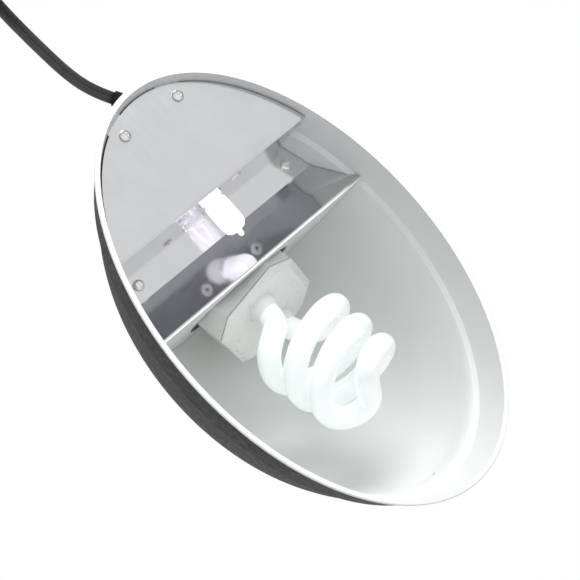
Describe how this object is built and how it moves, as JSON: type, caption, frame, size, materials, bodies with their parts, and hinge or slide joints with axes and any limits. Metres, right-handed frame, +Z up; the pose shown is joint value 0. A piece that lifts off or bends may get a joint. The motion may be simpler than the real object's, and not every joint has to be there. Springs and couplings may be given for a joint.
{
  "type": "grow lamp",
  "caption": "Oval dome grow lamp with a screw-in spiral fluorescent lamp, a halogen capsule behind a polished mirror trough, and a mains cord.",
  "frame": {"origin": "centre of the oval rim's lower face, on the surface the hood rests on", "axes": "+Z up through the crown, +X along the oval away from the cord, +Y across the oval"},
  "size_m": [0.4167, 0.1586, 0.1181],
  "materials": {
    "textured_black": "fine textured powder coat, charcoal black",
    "white_liner": "satin white enamel",
    "black_rubber": "moulded, smooth",
    "zinc_steel": "zinc plated sheet",
    "chrome_screw": "bright nickel plate",
    "black_screw": "black oxide",
    "mirror_sheet": "polished aluminium sheet",
    "mirror_trough": "polished aluminium sheet",
    "partition_white": "satin white enamel",
    "white_nylon": "moulded",
    "cream_ceramic": "glazed ceramic",
    "brass_contact": "stamped",
    "capsule_glass": "clear quartz",
    "nickel_pin": "nickel plate",
    "tungsten": "wound wire",
    "white_case": "satin moulded",
    "circuit_board": "laminate",
    "ferrite": "pressed ferrite",
    "capacitor_sleeve": "shrunk sleeve",
    "nickel_cap": "rolled thread shell",
    "black_glass": "fused insulator",
    "phosphor_glass": "phosphor coated, opal white",
    "wire_black": "insulated lead",
    "wire_white": "insulated lead",
    "orange_nylon": "twist-on connector",
    "black_pvc": "moulded PVC",
    "tie_black": "cable tie"
  },
  "bodies": {
    "root": {"outer_shell": "textured_black", "inner_reflector": "white_liner", "cord_bushing": "black_rubber", "bushing_clip": "zinc_steel", "cover_screws": "chrome_screw", "trough_screws": "chrome_screw", "socket_screws": "black_screw", "cover_plate": "mirror_sheet", "cover_blocks": "white_nylon", "trough_blocks": "white_nylon", "halogen_trough": "mirror_trough", "lamp_partition": "partition_white", "halogen_holder": "cream_ceramic", "holder_contacts": "brass_contact", "holder_bracket": "zinc_steel", "holder_rivets": "chrome_screw", "socket_centre_contact": "brass_contact", "socket_screw_shell": "brass_contact", "socket_body": "cream_ceramic", "socket_bracket": "zinc_steel", "socket_nuts": "zinc_steel", "wires_black": "wire_black", "wires_white": "wire_white", "wire_nuts": "orange_nylon", "power_cord": "black_pvc", "cord_coil": "black_pvc", "cord_tie": "tie_black", "plug_body": "black_pvc", "plug_blades": "nickel_pin"},
    "lamp_thread": {"cfl_tip_contact": "nickel_pin"},
    "spiral_lamp": {"cfl_tube": "phosphor_glass", "cfl_tube_collars": "white_case", "cfl_front_cap": "white_case", "cfl_ballast_case": "white_case", "ballast_board": "circuit_board", "ballast_choke": "ferrite", "ballast_capacitor": "capacitor_sleeve", "cfl_screw_cap": "nickel_cap", "cfl_cap_insulator": "black_glass"},
    "halogen_lamp": {"halogen_capsule": "capsule_glass", "halogen_pins": "nickel_pin", "halogen_filament": "tungsten"}
  },
  "joints": [
    {"name": "lamp_draw", "type": "slide", "parent": "root", "child": "lamp_thread", "axis": [0.891, 0, -0.454], "range_m": [0, 0.0146]},
    {"name": "lamp_turn", "type": "hinge", "parent": "lamp_thread", "child": "spiral_lamp", "pos_m": [-0.00175, 0, 0.0629], "axis": [0.891, 0, -0.454], "range_deg": [0, 1440]},
    {"name": "capsule_pull", "type": "slide", "parent": "root", "child": "halogen_lamp", "axis": [1, 0, 0], "range_m": [0, 0.0095]}
  ],
  "couplings": [
    {"joint": "lamp_draw", "follows": "lamp_turn", "m_per_rad": 0.00057773}
  ]
}
